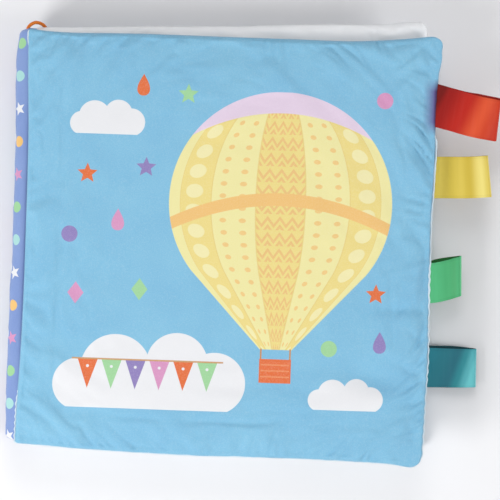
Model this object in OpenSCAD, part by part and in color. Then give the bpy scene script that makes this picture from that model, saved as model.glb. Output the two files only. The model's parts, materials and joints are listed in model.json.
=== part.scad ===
// Cloth crinkle book, closed and lying on its back cover.
// The origin is the middle of the flat resting face. +X runs from the spine to the
// fore-edge, +Y to the head of the book and +Z up. All sizes are in millimetres.

/* [Leaves] */
// Width of each leaf, from the spine seam to the fore-edge
leaf_w = 155; // [120:1:190]
// Height of each leaf along the spine
leaf_h = 155; // [120:1:190]
// Radius of the sewn corners
corner_r = 3.6; // [2:0.2:6]
// Full thickness of a padded cover
cover_t = 6.2; // [5:0.1:8]
// Full thickness of a padded inner leaf
page_t = 5.8; // [5:0.1:8]
// Air between one leaf and the next
leaf_gap = 0.4; // [0.3:0.05:0.8]
// How far in from its seam a leaf takes to reach its full thickness
puff_in = 13; // [9:0.5:18]
// How far alternate points of a sewn edge are drawn in by the thread
pucker = 0.45; // [0:0.05:0.9]

/* [Slack] */
// How much higher the front cover's fore-edge reaches at the head
front_head_rise = 2.9; // [0:0.1:5]
// How much lower the front cover's fore-edge reaches at the foot
front_foot_drop = 3.3; // [0:0.1:5]
// How far the head edge draws in between its corners
head_pull = 1.5; // [0:0.1:3]
// How far the fore-edge draws in between its corners
fore_pull = 0.8; // [0:0.1:3]
// How far the seam at the spine draws in between its ends
spine_pull = 0.8; // [0:0.1:1.2]
// How much narrower the inner leaves are than the covers
page_narrower = 4.2; // [2:0.2:8]
// How far the upper inner leaf climbs towards its fore-edge corner
upper_page_climb = 7.4; // [0:0.2:9]
// How far the lower inner leaf climbs towards its fore-edge corner
lower_page_climb = 2; // [0:0.2:6]

/* [Cloth] */
// Thickness of the outer cloth and of the lining
cloth_t = 0.5; // [0.3:0.05:0.8]
// Width of the seam where the outer cloth and the lining meet
seam_w = 1.6; // [1:0.1:2.4]
// How far the lining rolls out past the outer cloth as a pale rim
rim_show = 0.6; // [0:0.1:1]
// Thickness of the crackling film
film_t = 0.2; // [0.1:0.05:0.4]
// Half the thickness of an inner leaf at its seam
page_edge_t = 0.5; // [0.3:0.05:0.8]

/* [Spine] */
// How far the spine strip stands out from the line where the covers fold
spine_out = 3.4; // [2:0.1:5]
// Thickness of the spine strip
spine_t = 1.2; // [0.8:0.1:1.8]
// Height of the strip's clearance under the seam of each cover
spine_under = 2; // [1.7:0.1:3]
// How much shorter the strip is than the leaves, at each end
spine_short = 1.4; // [0:0.1:4]
// How far the bound edge reaches under the inner leaves
bind_in = 2.4; // [1.5:0.1:4]
// Length of one binding stitch
stitch_l = 4.2; // [2:0.2:6]
// Distance from one binding stitch to the next
stitch_pitch = 6.6; // [6.2:0.2:9]
// Width of a stitch, which stands up half as high
stitch_w = 0.7; // [0.4:0.1:1]

/* [Ribbon tabs] */
// Width of the ribbon
ribbon_w = 15.8; // [10:0.2:20]
// Thickness of the ribbon
ribbon_t = 0.35; // [0.2:0.05:0.5]
// How far each folded ribbon runs into its seam
ribbon_tail = 3; // [2:0.2:6]
// Radius of the fold at the end of a tab
ribbon_fold_r = 1.1; // [0.7:0.1:1.6]
// Reach of the red tab past its seam
red_reach = 24; // [14:0.5:30]
// Middle of the red tab, down from the head of the book
red_from_head = 23; // [16:0.5:36]
// Reach of the yellow tab past its seam
yellow_reach = 26; // [14:0.5:30]
// Middle of the yellow tab, down from the head of the book
yellow_from_head = 50.5; // [44:0.5:62]
// Reach of the green tab past its seam
green_reach = 16; // [10:0.5:30]
// Middle of the green tab, down from the head of the book
green_from_head = 90; // [80:0.5:98]
// Reach of the teal tab past its seam
teal_reach = 19.5; // [14:0.5:30]
// Middle of the teal tab, down from the head of the book
teal_from_head = 122; // [114:0.5:128]

/* [Hanging loop] */
// Thickness of the cord that makes the loop
loop_d = 1.3; // [0.9:0.1:1.5]

/* [Print] */
// Thickness given to a field of printed colour
ink_t = 0.12; // [0.08:0.02:0.2]
// Step of the grid that the printed picture is laid out on
art = 10; // [7:0.5:10]
// Radius of the printed balloon
balloon_r = 42; // [30:1:43]
// Length of the large printed cloud
cloud_w = 72; // [56:1:74]
// Size of the small scattered shapes
charm_r = 3.6; // [2:0.2:4.4]
// Width of a printed pennant
pennant_w = 7.6; // [5:0.2:8.4]
// Radius of a dot on the spine
spine_dot_r = 2.1; // [1:0.1:3]
// Distance from one spine dot to the next
spine_dot_pitch = 12.4; // [8:0.2:20]

/* [Hidden] */

// Middle heights of the four leaves, from the table up
back_z = cover_t / 2;
lower_z = cover_t + leaf_gap + page_t / 2;
upper_z = lower_z + page_t + leaf_gap;
front_z = upper_z + page_t / 2 + leaf_gap + cover_t / 2;
top_z = front_z + cover_t / 2;

// Place of the spine seams and of the line where the covers fold
leaf_mid_x = 0.5;
fold_x = leaf_mid_x - leaf_w / 2;
leaf_mid_y = 1.6;
page_w = leaf_w - page_narrower;

// Points along a ring: steps round each corner and along each side
corner_steps = 3;
side_steps = 12;
ring_n = 4 * (corner_steps + side_steps);
fine = 48;

// A leaf's slack: rise at the head, drop at the foot, climb of the whole leaf, pull of the head
FRONT = [front_head_rise, front_foot_drop, 0, head_pull];
BACK = [0, 0, 0, head_pull];
UPPER = [0, 0, upper_page_climb, 0];
LOWER = [0, 0, lower_page_climb, 0];

function corner(a, b, r, q) = [(q == 0 || q == 3 ? 1 : -1) * (a - r), (q < 2 ? 1 : -1) * (b - r)];
function on_arc(a, b, r, q, t) =
    corner(a, b, r, q) + r * [cos(90 * (q + t)), sin(90 * (q + t))];

// Rounded rectangle of half sizes a and b as ring_n points
function rounded(a, b, r) = [for (q = [0:3]) each concat(
    [for (i = [0:corner_steps]) on_arc(a, b, r, q, i / corner_steps)],
    [for (i = [1:side_steps - 1]) let (t = i / side_steps)
        on_arc(a, b, r, q, 1) * (1 - t) + on_arc(a, b, r, (q + 1) % 4, 0) * t])];

// The slack outline: a point of the square leaf moved to where the cloth has gone
function slack(p, w, s) =
    let (u = 2 * p.x / w, v = 2 * p.y / leaf_h,
        in_x = (u > 0 ? -fore_pull : spine_pull) * u * u * (1 - v * v),
        in_y = -s[3] * max(v, 0) * v * (1 - u * u),
        spread = (1 + u) / 2 * v * (v > 0 ? s[0] : s[1]))
    [p.x + in_x, p.y + in_y + spread + s[2] * (1 + u) / 2];

// Outline of a leaf of width w, drawn in by d, with the thread's puckers near the seam
function outline(w, d, s) =
    let (pts = rounded(w / 2 - d, leaf_h / 2 - d, corner_r + 0.5 * max(d, 0)),
        shift = [fold_x + w / 2, leaf_mid_y],
        draw = pucker * max(0, 1 - max(d, 0) / 4))
    [for (i = [0:ring_n - 1]) let (p = slack(pts[i], w, s), k = 1 - (i % 2) * draw * 2 / leaf_h)
        p * k + shift];

// Height of the padding at d from the seam, as a share of the full height
function puff(d, span) = sqrt(1 - pow(1 - min(max(d, 0) / span, 1), 2.2));
function lift(pts, z) = [for (p = pts) [p.x, p.y, z]];

// Closed skin over rings of equally many points, with a flat cap at each end
module skin(rings) {
    n = len(rings[0]);
    m = len(rings);
    sides = [for (j = [0:m - 2], i = [0:n - 1]) let (k = (i + 1) % n, a = j * n, b = a + n)
        each [[a + i, b + i, b + k], [a + i, b + k, a + k]]];
    first = [for (i = [0:n - 1]) i];
    last = [for (i = [n - 1:-1:0]) (m - 1) * n + i];
    polyhedron([for (r = rings) each r], concat([first], sides, [last]), convexity = 6);
}

// Half of a cover: cloth that meets the other half at the seam. up is 1 or -1
module cover_cloth(z, s, up, rim) {
    full = cover_t / 2 - cloth_t;
    outer = [puff_in, puff_in * 0.62, puff_in * 0.32, puff_in * 0.12, 0];
    inner_span = puff_in - seam_w;
    inner = [inner_span * 0.09, inner_span * 0.3, inner_span * 0.6, inner_span];
    // seen from the side it faces, every half is wound the same way
    rings = concat(
        [for (d = outer) lift(outline(leaf_w, d == 0 ? -rim : d, s),
            z + up * (cloth_t + full * puff(d, puff_in)))],
        [lift(outline(leaf_w, -rim, s), z)],
        [lift(outline(leaf_w, seam_w, s), z)],
        [for (d = inner) lift(outline(leaf_w, seam_w + d, s), z + up * full * puff(d, inner_span))]);
    skin(up > 0 ? [for (i = [len(rings) - 1:-1:0]) rings[i]] : rings);
}

// Flat layer inside a cover, as large as the flat of its padding
module flat_layer(z, s, t) {
    translate([0, 0, z]) linear_extrude(t) polygon(outline(leaf_w, puff_in + 0.4, s));
}

module cover_film(z, s) { flat_layer(z - cover_t / 2 + cloth_t, s, film_t); }
module cover_wadding(z, s) {
    flat_layer(z - cover_t / 2 + cloth_t + film_t, s, cover_t - 2 * cloth_t - film_t);
}

// A padded inner leaf, sewn all round
module padded_leaf(z, s) {
    full = page_t / 2 - page_edge_t;
    steps = [puff_in, puff_in * 0.6, puff_in * 0.3, puff_in * 0.1, 0];
    up = [for (i = [4:-1:0]) lift(outline(page_w, steps[i], s),
        z + page_edge_t + full * puff(steps[i], puff_in))];
    down = [for (d = steps) lift(outline(page_w, d, s),
        z - page_edge_t - full * puff(d, puff_in))];
    skin(concat(down, up));
}

module front_cover_panel() { color("#87c0e0") cover_cloth(front_z, FRONT, 1, 0); }
module front_cover_lining() { color("#eef3f5") cover_cloth(front_z, FRONT, -1, rim_show); }
module front_wadding() { color("white") cover_wadding(front_z, FRONT); }
module front_crinkle_film() { color("gainsboro") cover_film(front_z, FRONT); }
module back_cover_panel() { color("#87c0e0") cover_cloth(back_z, BACK, -1, 0); }
module back_cover_lining() { color("#eef3f5") cover_cloth(back_z, BACK, 1, rim_show); }
module back_wadding() { color("white") cover_wadding(back_z, BACK); }
module back_crinkle_film() { color("gainsboro") cover_film(back_z, BACK); }

// The strip's outer face, its ends under the cover seams, and its length
strip_top = front_z - spine_under;
strip_low = back_z + spine_under;
strip_l = leaf_h - 2 * spine_short;
strip_out_x = fold_x - spine_out;
strip_in_x = strip_out_x + spine_t;

// Quarter round of radius r about a corner of the strip, from angle a
function strip_arc(z, r, a, turn) = [for (i = [0:6])
    [fold_x + r * cos(a + turn * i * 15), z + r * sin(a + turn * i * 15)]];

module spine_strip() {
    out_r = spine_out;
    in_r = spine_out - spine_t;
    hi = strip_top - out_r;
    lo = strip_low + out_r;
    color("#8497d0") translate([0, leaf_mid_y, 0]) rotate([90, 0, 0])
        linear_extrude(strip_l, center = true)
            polygon(concat(strip_arc(hi, out_r, 90, 1), strip_arc(lo, out_r, 180, 1),
                strip_arc(lo, in_r, 270, -1), strip_arc(hi, in_r, 180, -1)));
}

// The edge that joins the inner leaves, filled up to the strip's inner face
bind_top = upper_z + page_edge_t;
bind_low = lower_z - page_edge_t;
bind_l = strip_l - 8;
module bound_edge() {
    translate([strip_in_x, leaf_mid_y - bind_l / 2, bind_low])
        cube([fold_x + bind_in - strip_in_x, bind_l, bind_top - bind_low]);
}

module pages() {
    color("#e9ebef") union() {
        padded_leaf(lower_z, LOWER);
        padded_leaf(upper_z, UPPER);
        bound_edge();
    }
}

module binding_stitches() {
    count = floor((bind_l - 6) / stitch_pitch);
    x = (strip_in_x + fold_x - stitch_w) / 2;
    color("white") for (i = [0:count - 1])
        translate([x, leaf_mid_y + (i - (count - 1) / 2) * stitch_pitch - stitch_l / 2, bind_top])
            cube([stitch_w, stitch_l, stitch_w / 2]);
}

// Side view of a folded ribbon: two layers from the seam and round the fold at the end
function layer_gap(t) = ribbon_t / 2 + 0.05 + (ribbon_fold_r - ribbon_t / 2 - 0.05) * sin(90 * t);
function ribbon_side(reach, o) = let (l = reach - ribbon_fold_r - ribbon_t / 2) concat(
    [for (i = [0:10]) let (t = i / 10) [-ribbon_tail + t * (l + ribbon_tail), layer_gap(t) + o]],
    [for (i = [1:7]) let (a = 90 - i * 22.5) [l, 0] + (ribbon_fold_r + o) * [cos(a), sin(a)]],
    [for (i = [10:-1:0]) let (t = i / 10) [-ribbon_tail + t * (l + ribbon_tail), -layer_gap(t) - o]]);

// Seam point at height y on the fore-edge of a leaf of width w
function fore_x(w, y) = fold_x + w - fore_pull * (1 - pow(2 * (y - leaf_mid_y) / leaf_h, 2));

module ribbon_tab(w, y, z, reach, turn) {
    back = ribbon_side(reach, -ribbon_t / 2);
    translate([fore_x(w, y), y, z]) rotate([0, 0, turn]) rotate([90, 0, 0])
        linear_extrude(ribbon_w, center = true)
            polygon(concat(ribbon_side(reach, ribbon_t / 2),
                [for (i = [len(back) - 1:-1:0]) back[i]]));
}

// The head of the book, and how far each tab leans from square
head_y = leaf_mid_y + leaf_h / 2;
red_lean = -9;
yellow_lean = 4;
green_lean = 8;
teal_lean = 1;
module red_ribbon_tab() {
    color("#bf2f22") ribbon_tab(leaf_w, head_y - red_from_head, front_z, red_reach, red_lean);
}
module yellow_ribbon_tab() {
    color("#dcc350") ribbon_tab(page_w, head_y - yellow_from_head, upper_z, yellow_reach, yellow_lean);
}
module green_ribbon_tab() {
    color("#58be80") ribbon_tab(page_w, head_y - green_from_head, lower_z, green_reach, green_lean);
}
module teal_ribbon_tab() {
    color("#34757f") ribbon_tab(leaf_w, head_y - teal_from_head, back_z, teal_reach, teal_lean);
}

// The loop's own line: out of the head seam of the upper leaf, over, and down beside the spine
LOOP = [[-70.5, 79.0, 16.4], [-70.7, 80.6, 17.6], [-71.7, 81.7, 18.3], [-73.0, 82.2, 18.5],
    [-74.4, 82.2, 18.5], [-75.7, 81.8, 18.5], [-76.7, 80.9, 18.5], [-77.0, 79.5, 18.4],
    [-76.8, 77.8, 18.3], [-76.5, 75.0, 18.3], [-76.4, 71.5, 18.3], [-76.3, 68.0, 18.3],
    [-76.2, 64.5, 18.2], [-76.1, 61.5, 17.6], [-76.0, 59.6, 16.6]];

function unit(v) = v / norm(v);
function along(p, i) = unit(p[min(i + 1, len(p) - 1)] - p[max(i - 1, 0)]);
function swept_ring(p, i, r) =
    let (f = along(p, i), a = unit(cross(f, [0, 0.2, 1])), b = cross(f, a))
    [for (k = [0:7]) p[i] + r * (cos(45 * k) * a + sin(45 * k) * b)];

module hanging_loop() {
    color("#e67f2e") skin([for (i = [0:len(LOOP) - 1]) swept_ring(LOOP, i, loop_d / 2)]);
}

// The printed picture: a balloon with striped gores, clouds, pennants and small charms.
// Places on it are in steps of the art grid, from the middle of the cover.
balloon_x = 2 * art;
balloon_y = 1.7 * art;
mouth_y = -3.8 * art;
mouth_w = 1.2 * art;
basket_h = 0.9 * art;
gores = 7;
shoulder = 0.62 * balloon_r;
function balloon_half(y) = y > -shoulder
    ? sqrt(max(0, balloon_r * balloon_r - y * y))
    : let (t = (y + shoulder) / (mouth_y - balloon_y + shoulder),
        widest = sqrt(balloon_r * balloon_r - shoulder * shoulder))
        widest * (1 - t) + mouth_w / 2 * t;
function gore_edge(k) = sin(-90 + 180 * k / gores);

module ink(layer = 0) {
    translate([0, 0, top_z + layer * ink_t]) linear_extrude(ink_t) children();
}
module gore(k) {
    low = mouth_y - balloon_y;
    ys = [for (i = [0:14]) low + (balloon_r - low) * sin(90 * i / 14)];
    translate([balloon_x, balloon_y]) polygon(concat(
        [for (y = ys) [gore_edge(k) * balloon_half(y), y]],
        [for (i = [13:-1:0]) [gore_edge(k + 1) * balloon_half(ys[i]), ys[i]]]));
}

module print_pale_yellow() { color("#ede6a6") ink() for (k = [0:2:gores - 1]) gore(k); }
module print_ochre() { color("#efc07a") ink() for (k = [1:2:gores - 1]) gore(k); }

// A cloud: a row of bumps on a flat foot. w is its length and h its height
module cloud(w, h) {
    intersection() {
        union() {
            translate([-w / 2 + h * 0.32, h * 0.3]) circle(h * 0.34, $fn = fine);
            translate([-w * 0.18, h * 0.5]) circle(h * 0.46, $fn = fine);
            translate([w * 0.14, h * 0.6]) circle(h * 0.4, $fn = fine);
            translate([w / 2 - h * 0.4, h * 0.36]) circle(h * 0.4, $fn = fine);
            translate([-w / 2 + h * 0.32, -h * 0.02]) square([w - h * 0.72, h * 0.5]);
        }
        translate([-w, 0]) square([2 * w, 2 * h]);
    }
}
module at(x, y) { translate([x * art, y * art]) children(); }

module print_white() {
    color("#f2f5f6") ink() {
        at(-2.7, -6.2) cloud(cloud_w, 2.9 * art);
        at(4.7, -6) cloud(2.8 * art, 1.2 * art);
        at(-4.6, 4.1) cloud(2.8 * art, 1.3 * art);
    }
}

module star() {
    polygon([for (i = [0:9]) (i % 2 == 0 ? 1.1 : 0.5) * charm_r * [cos(90 + 36 * i), sin(90 + 36 * i)]]);
}
module drop() {
    polygon([for (i = [0:23]) let (a = 15 * i)
        1.15 * charm_r * [0.8 * sin(a) * pow(sin(a / 2), 1.3), cos(a)]]);
}
module diamond() {
    polygon(charm_r * [[0.85, 0], [0, 1.15], [-0.85, 0], [0, -1.15]]);
}
module dot() { circle(charm_r * 0.85, $fn = fine); }

// Pennants hang in a row on the large cloud, at their own pitch
pennant_pitch = pennant_w + 1.4;
pennant_h = 1.1 * art;
module pennant(i) {
    translate([(i - 2.5) * pennant_pitch, 0]) at(-2.8, -4.7)
        polygon([[-pennant_w / 2, pennant_h * 0.3], [pennant_w / 2, pennant_h * 0.3],
            [0, -pennant_h * 0.7]]);
}

module print_coral() {
    color("#e2743f") {
        ink() {
            translate([balloon_x - mouth_w / 2, mouth_y - 1.4 * basket_h]) square([mouth_w, basket_h]);
            at(-5.3, 2.6) star();
            at(-3.3, 6) drop();
            at(5.7, -1.6) star();
        }
        ink(1) pennant(0);
        ink(1) pennant(4);
    }
}
module print_pink() {
    color("#d59ac0") {
        ink() {
            at(-4.1, 0.9) drop();
            at(-5.6, -1.9) diamond();
            at(5.8, 5.7) dot();
        }
        ink(1) pennant(3);
    }
}
module print_green() {
    color("#a7d6a4") {
        ink() {
            at(-3.2, -1.7) diamond();
            at(-1.6, 5.7) star();
            at(4, -3.7) dot();
        }
        ink(1) pennant(1);
        ink(1) pennant(5);
    }
}
module print_violet() {
    color("#9585b9") {
        ink() {
            at(-5.9, 0.3) dot();
            at(-3.1, 2.9) star();
            at(5.9, -3.4) drop();
        }
        ink(1) pennant(2);
    }
}

// Dots on the flat of the spine strip, by turns above and below its middle
module spine_print() {
    count = floor((strip_l - spine_dot_pitch) / spine_dot_pitch) + 1;
    z = (strip_top + strip_low) / 2;
    color("#f2f5f6") for (i = [0:count - 1])
        translate([strip_out_x, leaf_mid_y + (i - (count - 1) / 2) * spine_dot_pitch,
            z + (i % 2 == 0 ? 1 : -1) * spine_dot_r])
            rotate([0, -90, 0]) cylinder(ink_t, r = spine_dot_r, $fn = fine);
}

front_cover_panel();
front_cover_lining();
front_wadding();
front_crinkle_film();
back_cover_panel();
back_cover_lining();
back_wadding();
back_crinkle_film();
spine_strip();
pages();
binding_stitches();
red_ribbon_tab();
yellow_ribbon_tab();
green_ribbon_tab();
teal_ribbon_tab();
hanging_loop();
print_pale_yellow();
print_ochre();
print_white();
print_coral();
print_pink();
print_green();
print_violet();
spine_print();
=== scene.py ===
import bpy
import json
import numpy as np
from math import cos, exp, hypot, pi, radians, sin, sqrt
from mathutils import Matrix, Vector, noise

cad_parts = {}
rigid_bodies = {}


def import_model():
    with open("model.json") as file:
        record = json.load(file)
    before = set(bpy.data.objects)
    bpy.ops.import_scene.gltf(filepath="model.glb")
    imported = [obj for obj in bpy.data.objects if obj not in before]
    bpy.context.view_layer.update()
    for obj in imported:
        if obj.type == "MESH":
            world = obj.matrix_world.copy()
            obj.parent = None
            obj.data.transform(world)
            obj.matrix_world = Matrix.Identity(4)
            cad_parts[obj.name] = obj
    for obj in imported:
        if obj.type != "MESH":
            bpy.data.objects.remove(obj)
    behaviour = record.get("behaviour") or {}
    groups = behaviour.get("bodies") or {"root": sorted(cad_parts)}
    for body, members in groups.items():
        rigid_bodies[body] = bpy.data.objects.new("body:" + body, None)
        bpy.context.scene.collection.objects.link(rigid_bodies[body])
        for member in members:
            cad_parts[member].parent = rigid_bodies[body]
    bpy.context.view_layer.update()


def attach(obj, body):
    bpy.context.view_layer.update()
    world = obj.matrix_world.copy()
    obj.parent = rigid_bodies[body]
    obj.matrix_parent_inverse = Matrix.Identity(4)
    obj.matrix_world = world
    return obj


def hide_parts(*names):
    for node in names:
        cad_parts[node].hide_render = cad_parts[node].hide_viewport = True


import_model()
bpy.ops.object.select_all(action="DESELECT")
mm = 0.001
world = bpy.context.scene.collection


# Small helpers

def addMesh(name, points, faces):
    mesh = bpy.data.meshes.new(name)
    mesh.from_pydata(points, [], faces)
    mesh.update()
    piece = bpy.data.objects.new(name, mesh)
    world.objects.link(piece)
    return piece


def pick(piece):                                  # the one selected and active object
    bpy.ops.object.select_all(action="DESELECT")
    piece.select_set(True)
    bpy.context.view_layer.objects.active = piece


def finishWith(piece, kind, **settings):          # adds one modifier and applies it
    pick(piece)
    modifier = piece.modifiers.new(kind.title(), kind)
    for key, value in settings.items():
        setattr(modifier, key, value)
    bpy.ops.object.modifier_apply(modifier=modifier.name)


def smooth(piece):
    for face in piece.data.polygons:
        face.use_smooth = True


def track(points, at):                            # smooth curve through (place, value) pairs
    k = 0
    while k < len(points) - 2 and points[k + 1][0] < at:
        k += 1
    (a, p), (b, q) = points[k], points[k + 1]
    back = points[max(k - 1, 0)]
    on = points[min(k + 2, len(points) - 1)]
    t = (at - a) / (b - a)
    startSlope = (q - back[1]) / (b - back[0]) * (b - a)
    endSlope = (on[1] - p) / (on[0] - a) * (b - a)
    rise = t * t * (3 - 2 * t)
    return p + (q - p) * rise + t * (1 - t) * ((1 - t) * startSlope - t * endSlope)


def wander(x, y, seed, size):                     # slow even noise from -1 to 1, sizes in mm
    return noise.noise(Vector((x / size, y / size, seed * 7.31)))


# Camera

camera = {
    "over": (9.1, -0.8),      # point of the book straight under the camera, mm
    "height": 1.072,          # above the table, m
    "turn": 2.0,              # degrees
    "lens": 200.3,
}
eye = bpy.data.cameras.new("Camera")
eye.lens = camera["lens"]
eye.clip_end = 20
eyeObject = bpy.data.objects.new("Camera", eye)
world.objects.link(eyeObject)
eyeObject.location = (camera["over"][0] * mm, camera["over"][1] * mm, camera["height"])
eyeObject.rotation_euler = (0, 0, radians(camera["turn"]))
bpy.context.scene.camera = eyeObject
print("camera placed")


# Hanging loop

loop = {
    "thick": 1.3,             # mm
    "route": [(-70.6, 78.6, 13.4), (-71.2, 80.4, 14.2), (-72.3, 81.8, 15.2), (-73.8, 82.5, 16.4),
              (-75.3, 82.5, 17.4), (-76.6, 81.8, 18.1), (-77.6, 80.7, 18.4), (-77.9, 79.4, 18.4),
              (-77.3, 77.8, 18.3), (-76.7, 75.0, 18.3), (-76.4, 71.5, 18.3), (-76.3, 68.0, 18.3),
              (-76.2, 64.5, 18.2), (-76.1, 61.5, 17.6), (-76.0, 59.6, 16.6)],
    "steps": 9,               # rings between two points of the route
    "sides": 24,
    "strands": 8,             # braid strands that turn each way
    "braid": 3.2,             # mm for one full turn of a strand
}


def throughPoints(route, steps):                  # smooth line through the route's points
    ends = [2 * Vector(route[0]) - Vector(route[1])] + [Vector(p) for p in route]
    ends.append(2 * Vector(route[-1]) - Vector(route[-2]))
    line = []
    for k in range(1, len(ends) - 2):
        before, here, stop, after = ends[k - 1:k + 3]
        for step in range(steps):
            t = step / steps
            bend = 2 * before - 5 * here + 4 * stop - after
            twist = 3 * here - before - 3 * stop + after
            line.append(0.5 * (2 * here + (stop - before) * t + bend * t * t + twist * t ** 3))
    line.append(ends[-2])
    return line


def braidedCord(name, spec):                      # a tube whose skin is a braid of strands
    line = throughPoints(spec["route"], spec["steps"])
    sides = spec["sides"]
    points, flat, faces = [], [], []
    run = 0.0
    side = Vector((1, 0, 0))
    for k, centre in enumerate(line):
        ahead = (line[min(k + 1, len(line) - 1)] - line[max(k - 1, 0)]).normalized()
        side = (side - ahead * side.dot(ahead)).normalized()
        up = ahead.cross(side)
        run += (centre - line[k - 1]).length if k else 0
        for turn in range(sides):
            angle = 2 * pi * turn / sides
            twist = 2 * pi * run / spec["braid"]
            crest = abs(cos(spec["strands"] / 4 * (angle + twist)))
            crest *= abs(cos(spec["strands"] / 4 * (angle - twist)))
            r = spec["thick"] / 2 * (0.93 + 0.12 * crest)
            points.append((centre + r * (cos(angle) * side + sin(angle) * up)) * mm)
            flat.append((turn / sides * pi * spec["thick"] * mm, run * mm))
    for k in range(len(line) - 1):
        for turn in range(sides):
            a, b = k * sides + turn, k * sides + (turn + 1) % sides
            faces.append((a, b, b + sides, a + sides))
    faces.append(tuple(range(sides))[::-1])
    faces.append(tuple(len(points) - sides + turn for turn in range(sides)))
    cord = addMesh(name, points, faces)
    layer = cord.data.uv_layers.new(name="flat")
    for corner in cord.data.loops:
        layer.data[corner.index].uv = flat[corner.vertex_index]
    length = sum((b - a).length for a, b in zip(line, line[1:]))
    return cord, [p * mm for p in line], length * mm


hangingCord, cordLine, cordLength = braidedCord("loopCord", loop)
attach(hangingCord, "book_block")
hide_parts("hanging_loop")
print("loop made, %.1f mm of cord" % (cordLength / mm))


# Shader maths

class Wire:                                       # a socket that can be used in sums
    def __init__(self, tree, end=None):
        self.tree = tree
        self.end = end

    def make(self, kind, settings=None, inputs=None, out=0):
        node = self.tree.nodes.new("ShaderNode" + kind)
        for key, value in (settings or {}).items():
            if key in ("stops", "steps"):             # steps change at once, stops change smoothly
                ramp = node.color_ramp
                ramp.interpolation = "CONSTANT" if key == "steps" else "EASE"
                while len(ramp.elements) < len(value):
                    ramp.elements.new(0.5)
                for stop, (place, colour) in zip(ramp.elements, value):
                    stop.position = place
                    stop.color = (*colour, 1)
            else:
                setattr(node, key, value)
        for key, value in (inputs or {}).items():
            if isinstance(value, Wire):
                self.tree.links.new(value.end, node.inputs[key])
            else:
                node.inputs[key].default_value = value
        return Wire(self.tree, node.outputs[out])

    def calc(self, operation, *values, clamp=False):
        return self.make("Math", {"operation": operation, "use_clamp": clamp}, dict(enumerate(values)))

    def __add__(self, other):
        return self.calc("ADD", self, other)

    def __sub__(self, other):
        return self.calc("SUBTRACT", self, other)

    def __rsub__(self, other):
        return self.calc("SUBTRACT", other, self)

    def __mul__(self, other):
        return self.calc("MULTIPLY", self, other)

    def __truediv__(self, other):
        return self.calc("DIVIDE", self, other)

    def __rtruediv__(self, other):
        return self.calc("DIVIDE", other, self)

    def __pow__(self, other):
        return self.calc("POWER", self, other)

    def __mod__(self, other):
        return self.calc("FLOORED_MODULO", self, other)

    def __abs__(self):
        return self.calc("ABSOLUTE", self)

    def __lt__(self, other):
        return self.calc("LESS_THAN", self, other)

    def __gt__(self, other):
        return self.calc("GREATER_THAN", self, other)

    __radd__ = __add__
    __rmul__ = __mul__

    def under(self, top, cover):                  # this colour with another laid over it
        colours = {0: cover, 6: self, 7: top}
        return self.make("Mix", {"data_type": "RGBA"}, colours, out=2)


def least(first, *others):
    for other in others:
        first = first.calc("MINIMUM", first, other)
    return first


def most(first, *others):
    for other in others:
        first = first.calc("MAXIMUM", first, other)
    return first


def inked(depth, soft=0.12):                      # depth inside a shape, mm, to a crisp mask
    return depth.calc("MULTIPLY_ADD", depth, 1 / soft, 0.5, clamp=True)


def linear(code):                                 # hex colour to the values a shader takes
    parts = [int(code[k:k + 2], 16) / 255 for k in (1, 3, 5)]
    return tuple(p / 12.92 if p <= 0.04045 else ((p + 0.055) / 1.055) ** 2.4 for p in parts)


def rgba(code):
    return (*linear(code), 1)


def freshMaterial(name):
    material = bpy.data.materials.new(name)
    material.use_nodes = True
    tree = material.node_tree
    tree.nodes.clear()
    return material, Wire(tree)


def closeMaterial(start, colour, height, finish, strength=0.4, distance=0.0002, roughness=None):
    tree = start.tree
    shader = tree.nodes.new("ShaderNodeBsdfPrincipled")
    for key, value in finish.items():
        shader.inputs[key].default_value = value
    tree.links.new(colour.end, shader.inputs["Base Color"])
    if roughness:
        tree.links.new(roughness.end, shader.inputs["Roughness"])
    bump = start.make("Bump", None, {"Strength": strength, "Distance": distance, "Height": height})
    tree.links.new(bump.end, shader.inputs["Normal"])
    result = tree.nodes.new("ShaderNodeOutputMaterial")
    tree.links.new(shader.outputs[0], result.inputs[0])


def objectMillimetres(start):                     # object coordinates in mm: vector, x, y, z
    place = start.make("TexCoord", None, None, "Object")
    place = start.make("VectorMath", {"operation": "SCALE"}, {0: place, "Scale": 1000.0})
    return [place] + [start.make("SeparateXYZ", None, {0: place}, k) for k in range(3)]


def speckle(start, place, scale, detail=2.0):
    inputs = {"Vector": place, "Scale": scale, "Detail": detail, "Roughness": 0.6}
    return start.make("TexNoise", None, inputs)


def weave(x, y, pitch):                           # plain weave: crests of warp and weft
    warp = x.calc("SINE", x * (2 * pi / pitch))
    weft = x.calc("SINE", y * (2 * pi / pitch))
    return warp * weft


# Cloth materials

clothLook = {
    "weavePitch": 0.3,        # mm from thread to thread
    "mottle": 0.28,           # how far the ink varies
}
satinFinish = {"Roughness": 0.62, "Specular IOR Level": 0.28, "Sheen Weight": 0.18, "Sheen Roughness": 0.4}
softFinish = {"Roughness": 0.8, "Specular IOR Level": 0.2, "Sheen Weight": 0.25, "Sheen Roughness": 0.5}


def clothGround(start, place, x, y, tone, deep):  # base colour with mottled ink, and its height
    fine = speckle(start, place, 1.7, 3.0)
    wide = speckle(start, place, 0.05, 2.0)
    mix = (fine - 0.5) * clothLook["mottle"] * 3 + (wide - 0.5) * 1.3 + 0.5
    colour = start.make("Mix", {"data_type": "RGBA"}, {0: mix, 6: deep, 7: tone}, out=2)
    height = weave(x, y, clothLook["weavePitch"]) * 0.3 + fine * 0.7
    return colour, height


def plainCloth(name, tone, deep, finish=softFinish, strength=0.35):
    material, start = freshMaterial(name)
    place, x, y, z = objectMillimetres(start)
    colour, height = clothGround(start, place, x, y + z, rgba(tone), rgba(deep))
    closeMaterial(start, colour, height, finish, strength)
    return material


# Printed shapes, all in mm

def discShape(place, x0, y0, r):
    away = place.make("VectorMath", {"operation": "DISTANCE"}, {0: place, 1: (x0, y0, 0)}, "Value")
    return r - away


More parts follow.
